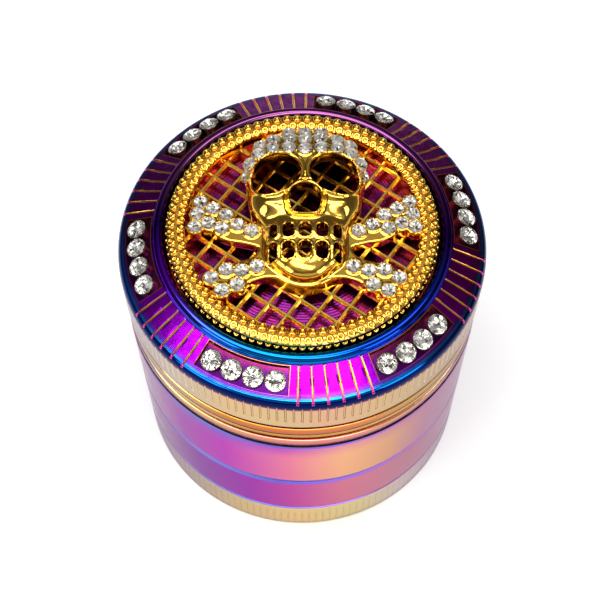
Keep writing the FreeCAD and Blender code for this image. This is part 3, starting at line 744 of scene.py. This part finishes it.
def smooth_min(a, b, k):
    h = np.clip(0.5 + 0.5 * (b - a) / k, 0, 1)
    return b * (1 - h) + a * h - k * h * (1 - h)


def smooth_max(a, b, k):
    return -smooth_min(-a, -b, k)


def ellipse(x, y, centre, half_x, half_y, tilt=0.0):
    """The rough distance to an ellipse, negative inside."""
    c, s = math.cos(math.radians(tilt)), math.sin(math.radians(tilt))
    dx, dy = x - centre[0], y - centre[1]
    u, v = dx * c + dy * s, dy * c - dx * s
    near = np.hypot(u / half_x, v / half_y)
    steep = np.hypot(u / half_x ** 2, v / half_y ** 2) + 1e-9
    return near * (near - 1) / steep


def rounded_box(x, y, centre, half_x, half_y, corner):
    dx = np.abs(x - centre[0]) - half_x + corner
    dy = np.abs(y - centre[1]) - half_y + corner
    outside = np.hypot(np.maximum(dx, 0), np.maximum(dy, 0))
    return outside + np.minimum(np.maximum(dx, dy), 0) - corner


def bar(x, y, start, end, start_radius, end_radius):
    """The distance to a tapering bar with round ends."""
    ax, ay = end[0] - start[0], end[1] - start[1]
    share = np.clip(((x - start[0]) * ax + (y - start[1]) * ay) / (ax * ax + ay * ay), 0, 1)
    width = start_radius + (end_radius - start_radius) * share
    return np.hypot(x - start[0] - share * ax, y - start[1] - share * ay) - width


def surface_net(field, low, high, step):
    """Points and quads where the field crosses zero, one point in each cell it crosses, all
    moved onto the surface at the end."""
    axes = [np.arange(a, b + step, step) for a, b in zip(low, high)]
    x, y, z = (axes[0][:, None, None], axes[1][None, :, None], axes[2][None, None, :])
    value = np.broadcast_to(field(x, y, z), tuple(len(a) for a in axes))
    shape = np.array(value.shape)
    total = np.zeros((*(shape - 1), 3))
    count = np.zeros(shape - 1)
    crossings = []
    for axis in range(3):
        ahead = np.take(value, np.arange(1, shape[axis]), axis)
        here = np.take(value, np.arange(shape[axis] - 1), axis)
        crossed = (here < 0) != (ahead < 0)
        share = np.where(crossed, here / np.where(crossed, here - ahead, 1), 0)
        others = [a for a in range(3) if a != axis]
        crossings.append((axis, others, crossed, here < 0))
        for first in (0, 1):
            for second in (0, 1):
                window = [slice(None)] * 3
                window[others[0]] = slice(first, first + shape[others[0]] - 1)
                window[others[1]] = slice(second, second + shape[others[1]] - 1)
                part, moved = crossed[tuple(window)], share[tuple(window)]
                count += part
                total[..., axis] += part * moved
                total[..., others[0]] += part * first
                total[..., others[1]] += part * second
    used = count > 0
    number = np.full(used.shape, -1)
    number[used] = np.arange(used.sum())
    corner = np.argwhere(used)
    points = np.array(low) + (corner + total[used] / count[used][:, None]) * step
    quads = []
    for axis, others, crossed, inside in crossings:
        i, j, k = np.nonzero(crossed)
        place = np.stack([i, j, k], 1)
        keep = np.all([(place[:, a] > 0) & (place[:, a] < shape[a] - 1) for a in others], 0)
        place = place[keep]
        flip = inside[tuple(place.T)]
        ring = []
        for first, second in ((1, 1), (0, 1), (0, 0), (1, 0)):
            cell = place.copy()
            cell[:, others[0]] -= first
            cell[:, others[1]] -= second
            ring.append(number[tuple(cell.T)])
        ring = np.stack(ring, 1)
        if axis == 1:
            flip = ~flip
        ring[flip] = ring[flip][:, ::-1]
        quads.append(ring)
    for _ in range(3):
        points = onto_surface(field, points, step)
    return points, np.concatenate(quads)


def onto_surface(field, points, step):
    """Points moved along the field's slope towards zero, by a third of a step at most."""
    x, y, z = points.T
    here = field(x, y, z)
    tiny = 0.02
    slope = np.stack([field(x + tiny, y, z) - field(x - tiny, y, z),
                      field(x, y + tiny, z) - field(x, y - tiny, z),
                      field(x, y, z + tiny) - field(x, y, z - tiny)], 1) / (2 * tiny)
    square = (slope ** 2).sum(1) + 1e-6
    move = -slope * (here / square)[:, None]
    length = np.linalg.norm(move, axis=1)[:, None]
    return points + move * np.minimum(1, step / 3 / np.maximum(length, 1e-9))


# ---- the skull and crossbones ----

# Distances in x are from the skull's middle.
MIDDLE = 0.38
NET_STEP = 0.14
SKULL_EDGE, SKULL_CEILING, SHELL_WALL = 48.9, 51.85, 0.9
BONE_TOP = LATTICE_TOP + 1.6
STONE_RADIUS, STONE_RIM, STONE_PAD = 0.96, 1.04, 1.18
UPPER_BONE_STONES = [(14.0, 3.3), (12.3, 2.25), (10.55, 1.25), (8.95, -0.3), (7.1, -1.25),
                     (14.35, 1.4), (12.85, -0.05), (11.05, -0.8), (14.6, -0.6)]
LOWER_BONE_STONES = [(6.3, -6.7), (8.3, -7.35), (10.3, -7.2), (12.2, -8.4), (8.8, -9.4),
                     (10.75, -10.25)]
CROWN_STONES = [(0.0, 10.0), (2.2, 10.25), (4.4, 10.2), (6.2, 9.4), (7.5, 8.2), (7.8, 6.5),
                (0.0, 11.8), (2.1, 12.05), (4.3, 11.9), (6.1, 11.2), (0.0, 13.55), (2.2, 13.7)]
TOOTH_WINDOWS = [(0.0, 0.8), (2.2, 0.76), (4.2, 0.5)]
TOOTH_ROWS = [(-2.5, 1.0), (-5.4, 1.2)]


def nearest_stone(x, y, stones):
    """The distance from each point to the nearest stone's centre."""
    return np.min([np.hypot(x - a, y - b) for a, b in stones], 0)


def seat(distance):
    """One inside a stone's seat and zero outside it."""
    return 1 / (1 + np.exp(np.clip((distance - 0.86) / 0.04, -40, 40)))


def skull_outline(x, y):
    head = ellipse(x, y, (0.0, 7.6), 8.3, 8.2)
    cheek = ellipse(x, y, (0.0, 2.4), 7.5, 4.2)
    jaw = rounded_box(x, y, (0.0, -2.7), 5.5, 4.5, 2.6)
    chin = ellipse(x, y, (0.0, -4.6), 4.5, 4.6)
    return smooth_min(smooth_min(head, cheek, 1.5), smooth_min(jaw, chin, 1.0), 1.6)


def skull_holes(x, y):
    """The distance to each opening: the eye, the nose and the tooth windows."""
    eye = smooth_min(ellipse(x, y, (3.8, 6.22), 3.3, 2.82, -24.0),
                     ellipse(x, y, (4.9, 5.35), 2.2, 2.4), 0.4)
    nose = smooth_min(ellipse(x, y, (0.0, 2.45), 2.08, 2.08),
                      rounded_box(x, y, (0.0, 1.5), 1.85, 1.35, 1.0), 0.3)
    windows = [rounded_box(x, y, (a, row), half, tall, 0.9 * half)
               for row, tall in TOOTH_ROWS for a, half in TOOTH_WINDOWS]
    return eye, nose, np.min(windows, 0)


def ridge(distance, place, width):
    return np.exp(-((distance - place) / width) ** 2)


def quarter(share):
    return np.sqrt(1 - (1 - np.clip(share, 0, 1)) ** 2)


def skull_dome(x, y):
    """The height of the skull's upper surface before its rims are added."""
    depth = -skull_outline(x, y)
    swell = 2.4 + 0.04 * np.clip(y, -9, 9)
    height = SKULL_EDGE + swell * 0.5 * (quarter(depth / 2.2) + quarter(depth / 6.5))
    return height - 0.035 * np.maximum(y - 8.5, 0) ** 2


def skull_top(x, y, eye, nose, windows):
    """The height of the skull's upper surface."""
    top = skull_dome(x, y)
    top = top + 0.3 * np.exp(-((x - 4.9) / 1.3) ** 2 - ((y - 1.6) / 0.8) ** 2)
    top = top - 0.35 * np.exp(-((x - 4.0) / 1.3) ** 2 - ((y + 0.3) / 0.8) ** 2)
    top = top + 0.4 * ridge(eye, 0.28, 0.25)
    top = top + 0.42 * ridge(nose, 0.2, 0.22) - 0.12 * ridge(nose, 0.5, 0.12)
    top = top + 0.16 * ridge(nose, 0.72, 0.16)
    top = top + 0.13 * ridge(windows, 0.12, 0.16)
    stones = nearest_stone(x, y, CROWN_STONES)
    top = smooth_min(top, SKULL_CEILING, 0.3)
    return top + 0.14 * ridge(stones, STONE_RIM, 0.14) - 0.55 * seat(stones)


def charm_field(x, y, z):
    """The skull and crossbones as one solid: a hollow domed shell on flat bone plates."""
    x = np.abs(x - MIDDLE)
    outline = skull_outline(x, y)
    eye, nose, windows = skull_holes(x, y)
    holes = np.minimum(np.minimum(eye, nose), windows)
    top = skull_top(x, y, eye, nose, windows)
    skull = smooth_max(outline, z - top, 0.5)
    skirt = smooth_max(outline - 0.4 - 0.4 * (BONE_TOP - z), y + 0.5, 0.8)
    upper = nearest_stone(x, y, UPPER_BONE_STONES) - STONE_PAD
    upper = smooth_min(upper, bar(x, y, (4.0, -2.4), (9.5, -1.2), 1.7, 1.5), 0.9)
    upper = smooth_min(upper, bar(x, y, (9.5, -1.2), (13.2, 1.2), 1.3, 1.6), 0.9)
    lower = nearest_stone(x, y, LOWER_BONE_STONES) - STONE_PAD
    lower = smooth_min(lower, bar(x, y, (4.0, -6.0), (10.5, -8.5), 1.7, 1.6), 0.9)
    seats = nearest_stone(x, y, UPPER_BONE_STONES + LOWER_BONE_STONES)
    plate_top = BONE_TOP - 0.1 + 0.16 * ridge(seats, STONE_RIM, 0.14) - 0.6 * seat(seats)
    plates = smooth_min(smooth_min(lower, skirt, 1.6), upper, 0.6)
    solid = smooth_min(skull, smooth_max(plates, z - plate_top, 0.2), 0.4)
    hollow = np.maximum(np.maximum(z - top + SHELL_WALL, outline + SHELL_WALL),
                        np.minimum(0.45 - holes, z - top + 1.9))
    solid = np.maximum(solid, -hollow)
    solid = smooth_max(solid, -holes, 0.16)
    return np.maximum(solid, LATTICE_TOP - 0.02 - z)


def make_charm():
    low, high = (-15.9, -12.3, LATTICE_TOP - 0.3), (16.5, 16.3, 52.1)
    points, quads = surface_net(charm_field, low, high, NET_STEP)
    x, y, z = points[quads].mean(1).T
    x = np.abs(x - MIDDLE)
    # Faces inside the hollow shell, below its roof, take a dark gold: painted shade, seen through
    # the eyes, nose and tooth windows.
    roof = skull_dome(x, y) - 1.0
    shaded_inside = (z < roof) & (skull_outline(x, y) < -0.6)
    piece("skull_and_crossbones_casting", "lid", points, quads.tolist(),
          ["gold", "gold_painted_shade"], shaded_inside.astype(int), ("skull_and_crossbones",), 50.0)


# ---- the filigree ----


def joined(parts):
    """Several lists of points and faces as one."""
    points, faces, start = [], [], 0
    for some_points, some_faces in parts:
        points.append(np.asarray(some_points))
        faces += [[start + index for index in face] for face in some_faces]
        start += len(some_points)
    return np.concatenate(points), faces


def ring_faces(rows, count, closed=False):
    """Quads between successive rings of count points each."""
    faces = []
    for row in range(rows if closed else rows - 1):
        below = (row + 1) % rows
        for k in range(count):
            after = (k + 1) % count
            faces.append([row * count + k, row * count + after, below * count + after,
                          below * count + k])
    return faces


def revolved(rows, count, closed=False):
    """Points and quads of a small shape turned about Z; each row is (radius, height)."""
    points = [(r * math.cos(t), r * math.sin(t), z) for r, z in rows for t in even(count)]
    return np.array(points), ring_faces(len(rows), count, closed)


def ring_mesh(major, minor):
    """A small ring lying flat, with its middle closed by a shallow dimple."""
    count, tube_count = 14, 8
    tube = np.radians(np.linspace(-60, 240, tube_count))
    rows = [(major + minor * math.cos(a), minor * math.sin(a)) for a in tube]
    points, faces = revolved(rows, count)
    last = (tube_count - 1) * count
    faces += [list(range(last, last + count)), list(range(count))[::-1]]
    return points, faces


def placed(points, place, normal, spin=0.0):
    """Points turned so that their Z axis points along the normal, then moved."""
    rotation = Vector((0, 0, 1)).rotation_difference(Vector(normal)).to_matrix()
    rotation = np.array(rotation @ Matrix.Rotation(spin, 3, "Z"))
    return np.asarray(points) @ rotation.T + np.array(place)


# Each row: radius, height, lean away from the axis, how many, size.
GRANULE_ROWS = [(17.5, 48.4, 0.35, 78, 1.0), (16.2, 48.42, -0.3, 78, 1.0),
                (18.02, 47.72, 0.9, 104, 0.74)]


def make_filigree():
    base = path("gold", (16.0, RECESS_FLOOR), (16.9, RECESS_FLOOR), (18.0, RECESS_FLOOR),
                (18.15, 45.4), (18.15, 47.8), (18.0, 48.2), (17.6, 48.42), (17.0, 48.46),
                (16.3, 48.44), (15.85, 48.25), (15.7, 47.8), (15.8, 46.6), (16.0, 46.5))
    turned("filigree_band", "lid", base, even(156), closed=True)
    grains = []
    shape, faces = ring_mesh(0.38, 0.26)
    for row, (radius, level, lean, count, size) in enumerate(GRANULE_ROWS):
        for turn in even(count) + row * math.pi / count:
            normal = (lean * math.cos(turn), lean * math.sin(turn), 1.0)
            place = (radius * math.cos(turn), radius * math.sin(turn), level)
            grains.append((placed(size * shape, place, normal), faces))
    points, faces = joined(grains)
    piece("filigree_granules", "lid", points, faces, ["gold_bright"], sharp=60.0)


LATTICE_PITCH, LATTICE_TURN, LATTICE_REACH = 2.95, 54.7, 16.0


def make_lattice():
    """Two crossing sets of bars with a ridge along their tops."""
    section = [(-0.32, 46.6), (0.32, 46.6), (0.32, 46.92), (0.12, LATTICE_TOP),
               (-0.12, LATTICE_TOP), (-0.32, 46.92)]
    bars = []
    for turn, drop in ((LATTICE_TURN, 0.0), (LATTICE_TURN + 90, 0.03)):
        along = np.array([math.cos(math.radians(turn)), math.sin(math.radians(turn)), 0])
        across = np.array([-along[1], along[0], 0])
        for index in range(-5, 6):
            offset = index * LATTICE_PITCH
            reach = math.sqrt(LATTICE_REACH ** 2 - offset ** 2)
            corners = []
            for end in (-reach, reach):
                corners += [end * along + (offset + s) * across + np.array([0, 0, z - drop])
                            for s, z in section]
            count = len(section)
            faces = [list(range(count)), list(range(2 * count - 1, count - 1, -1))]
            faces += [[k, k + count, (k + 1) % count + count, (k + 1) % count]
                      for k in range(count)]
            bars.append((corners, faces))
    points, faces = joined(bars)
    piece("filigree_lattice", "lid", points, faces, ["gold_lattice"],
          replaced=("filigree_plate",), sharp=20.0)


# ---- cut stones ----


def brilliant(radius, crown, pavilion):
    """A round brilliant: its table and crown facets above the girdle, a foiled cone of
    facets below. Returns points, faces and the paint index of each face."""
    rings = [(0.56, pavilion + crown, 8, 0.0), (0.8, pavilion + 0.58 * crown, 8, TAU / 16),
             (1.0, pavilion + 0.06, 16, 0.0), (1.0, pavilion, 16, 0.0),
             (0.42, 0.44 * pavilion, 8, 0.0)]
    points = [(share * radius * math.cos(start + k * TAU / count),
               share * radius * math.sin(start + k * TAU / count), height)
              for share, height, count, start in rings for k in range(count)]
    points.append((0.0, 0.0, 0.0))
    table, star, top, low, deep, culet = 0, 8, 16, 32, 48, 56
    crown_faces, foil_faces = [[table + k for k in range(8)]], []
    for k in range(8):
        after = (k + 1) % 8
        right, far = 2 * k + 1, (2 * k + 2) % 16
        crown_faces += [
            [table + k, star + k, table + after],
            [table + k, star + (k - 1) % 8, top + 2 * k, star + k],
            [star + k, top + 2 * k, top + right], [star + k, top + right, top + far]]
        foil_faces += [
            [low + 2 * k, deep + k, low + right], [low + right, deep + k, deep + after],
            [low + right, deep + after, low + far], [deep + k, culet, deep + after]]
    for k in range(16):
        after = (k + 1) % 16
        crown_faces.append([top + k, low + k, low + after, top + after])
    paints = [0] * len(crown_faces) + [1] * len(foil_faces)
    return np.array(points), crown_faces + foil_faces, paints


def collar(radius, height):
    """The cup that a stone sits in: a thin ring from the seat to just over the girdle."""
    wall = 0.08
    rows = [(radius + wall, 0.0), (radius + wall, height - 0.03), (radius + 0.6 * wall, height),
            (radius - 0.02, height), (radius - 0.05, height - 0.08), (radius - 0.1, 0.0)]
    return revolved(rows, 24, closed=True)


def set_stones(node, places, back, rim, pavilion, radius=STONE_RADIUS, crown=0.3):
    """A node's stones in their collars: each place is (point, normal), and pavilion and crown
    are the heights below and above the girdle."""
    cut, cut_faces, cut_paints = brilliant(radius, crown, pavilion)
    cup, cup_faces = collar(radius, pavilion + 0.05)
    parts, paints = [], []
    for index, (place, normal) in enumerate(places):
        spin = 0.7 * index
        parts.append((placed(cut, place, normal, spin), cut_faces))
        paints += cut_paints
        parts.append((placed(cup, place, normal), cup_faces))
        paints += [2] * len(cup_faces)
    points, faces = joined(parts)
    piece(node + "_cut", "lid", points, faces, ["crystal", back, rim], paints,
          replaced=(node,), sharp=0.0)


def make_bezel_stones():
    lean = math.atan(BEZEL_SLOPE)
    ring, spacing = 22.1, 7.5
    level = BEZEL_OUTER[1] + (BEZEL_OUTER[0] - ring) * BEZEL_SLOPE - POCKET_DEPTH
    for row, centre in enumerate(POCKET_CENTRES):
        places = []
        for place in range(4):
            turn = math.radians(centre + spacing * (place - 1.5))
            normal = (math.sin(lean) * math.cos(turn), math.sin(lean) * math.sin(turn),
                      math.cos(lean))
            places.append(((ring * math.cos(turn), ring * math.sin(turn), level), normal))
        set_stones(f"bezel_stones_{row + 1}", places, "foil", "collar", radius=1.35,
                   crown=0.4, pavilion=0.58)


def make_charm_stones():
    for level, stones in (("upper", UPPER_BONE_STONES), ("lower", LOWER_BONE_STONES)):
        for side, sign in (("left", -1), ("right", 1)):
            places = [((MIDDLE + sign * x, y, BONE_TOP - 0.46), (0, 0, 1)) for x, y in stones]
            set_stones(f"bone_stones_{level}_{side}", places, "pale_foil", "gold",
                       pavilion=0.44)
    places = []
    lean, sunk = 0.55, 0.52
    for x, y in CROWN_STONES:
        here = float(skull_dome(x, y))
        slope_x = (float(skull_dome(x + 0.4, y)) - float(skull_dome(abs(x - 0.4), y))) / 0.8
        slope_y = (float(skull_dome(x, y + 0.4)) - float(skull_dome(x, y - 0.4))) / 0.8
        for sign in ((1,) if x == 0 else (-1, 1)):
            normal = Vector((-lean * sign * slope_x, -lean * slope_y, 1.0)).normalized()
            culet = Vector((MIDDLE + sign * x, y, here)) - sunk * normal
            places.append((culet, normal))
    set_stones("crown_stones", places, "pale_foil", "gold", pavilion=0.6)


# ---- small inner pieces ----


def repaint_nodes():
    """CAD nodes that keep their own mesh take a finished material."""
    for node, paint in (("chamber_teeth", "inside"), ("lid_teeth", "inside"),
                        ("chamber_magnet", "nickel"), ("lid_magnet", "nickel"),
                        ("screen_retaining_ring", "steel"), ("friction_ring", "nylon")):
        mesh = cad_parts[node].data
        mesh.materials.clear()
        mesh.materials.append(PAINTS[paint])


def make_screen():
    """Woven wire: two crossing sets of wires that pass over and under each other."""
    level = span("pollen_screen")[0].z + 0.15
    pitch, wire, wave, reach = 0.8, 0.07, 0.075, 20.9
    parts = []
    count = int(reach / pitch)
    for lengthwise in (True, False):
        for index in range(-count, count + 1):
            offset = index * pitch
            half = math.sqrt(reach ** 2 - offset ** 2)
            steps = np.arange(-half, half + 0.2, 0.4)
            sign = 1 if (index % 2 == 0) == lengthwise else -1
            heights = level + sign * wave * np.cos(steps * math.pi / pitch)
            points = []
            for s, z in zip(steps, heights):
                for a, b in ((-wire, 0), (0, -wire), (wire, 0), (0, wire)):
                    points.append((s, offset + a, z + b) if lengthwise else (offset + a, s, z + b))
            last = 4 * (len(steps) - 1)
            faces = ring_faces(len(steps), 4) + [[0, 1, 2, 3], [last + 3, last + 2, last + 1, last]]
            parts.append((points, faces))
    points, faces = joined(parts)
    piece("pollen_screen_weave", "storage", points, faces, ["steel"], sharp=60.0)
    rim = path("steel", (20.7, level - 0.14), (21.25, level - 0.14), (21.3, level),
               (21.25, level + 0.14), (20.7, level + 0.14))
    turned("pollen_screen_rim", "storage", rim, even(160), closed=True,
           replaced=("pollen_screen",))


# ---- stage ----


def make_stage():
    """A pale floor, soft overhead panels and a dim room."""
    bpy.ops.mesh.primitive_plane_add(size=6.0, location=(0, 0, 0))
    floor = bpy.context.object
    floor.name = "floor"
    paint = Paint("floor_paper", Roughness=0.9, Emission_Strength=0.22)
    paint.colour(paint.mix(paint.noise(3.0), linear("f6f5f5"), linear("f2f1f2")))
    floor.data.materials.append(paint.material)
    panels = [
        ("key", (-0.13, -0.21, 1.05), (1.1, 0.34), 5.8),
        ("over", (0.0, 0.2, 1.05), (1.0, 0.24), 4.0),
        ("front", (0.0, -1.1, 0.6), (1.6, 0.5), 1.3),
        ("front_left", (-0.95, -0.75, 0.7), (0.5, 0.6), 4.0),
        ("front_right", (0.95, -0.8, 0.65), (0.5, 0.6), 4.0),
    ]
    for name, place, extent, power in panels:
        light = bpy.data.lights.new(name, "AREA")
        light.shape = "RECTANGLE"
        light.size, light.size_y = extent
        light.energy = power
        made = bpy.data.objects.new(name, light)
        made.location = place
        made.rotation_euler = (-Vector(place)).to_track_quat("-Z", "Y").to_euler()
        bpy.context.scene.collection.objects.link(made)
    world = bpy.data.worlds.new("room")
    world.use_nodes = True
    tree = world.node_tree
    background = tree.nodes["Background"]
    direction = tree.nodes.new("ShaderNodeTexCoord")
    split = tree.nodes.new("ShaderNodeSeparateXYZ")
    tree.links.new(direction.outputs["Generated"], split.inputs[0])
    ramp = tree.nodes.new("ShaderNodeValToRGB")
    stops = [(0.0, 0.2), (0.12, 0.16), (0.35, 0.08), (0.7, 0.09), (0.85, 0.4), (1.0, 0.35)]
    set_stops(ramp.color_ramp, [(place, (grey, grey, grey * 1.02, 1)) for place, grey in stops])
    tree.links.new(split.outputs[2], ramp.inputs[0])
    tree.links.new(ramp.outputs[0], background.inputs[0])
    background.inputs[1].default_value = 1.0
    bpy.context.scene.world = world
    bpy.context.scene.view_settings.view_transform = "Standard"


def make_camera():
    """The view from the front, 61 degrees above the floor, close by."""
    data = bpy.data.cameras.new("camera")
    data.sensor_width = 36.0
    data.lens = 75.12
    data.clip_start = 0.01
    camera = bpy.data.objects.new("camera", data)
    elevation = math.radians(61.07)
    camera.location = Vector((-0.3121, -89.362, 189.235)) * MM
    camera.rotation_euler = (math.pi / 2 - elevation, 0, 0)
    bpy.context.scene.collection.objects.link(camera)
    bpy.context.scene.camera = camera


make_bezel()
make_knurled_band()
make_lid_lower()
make_grinding_chamber()
make_storage_chamber()
make_cup()
make_charm()
make_filigree()
make_lattice()
make_bezel_stones()
make_charm_stones()
make_screen()
repaint_nodes()
make_stage()
make_camera()
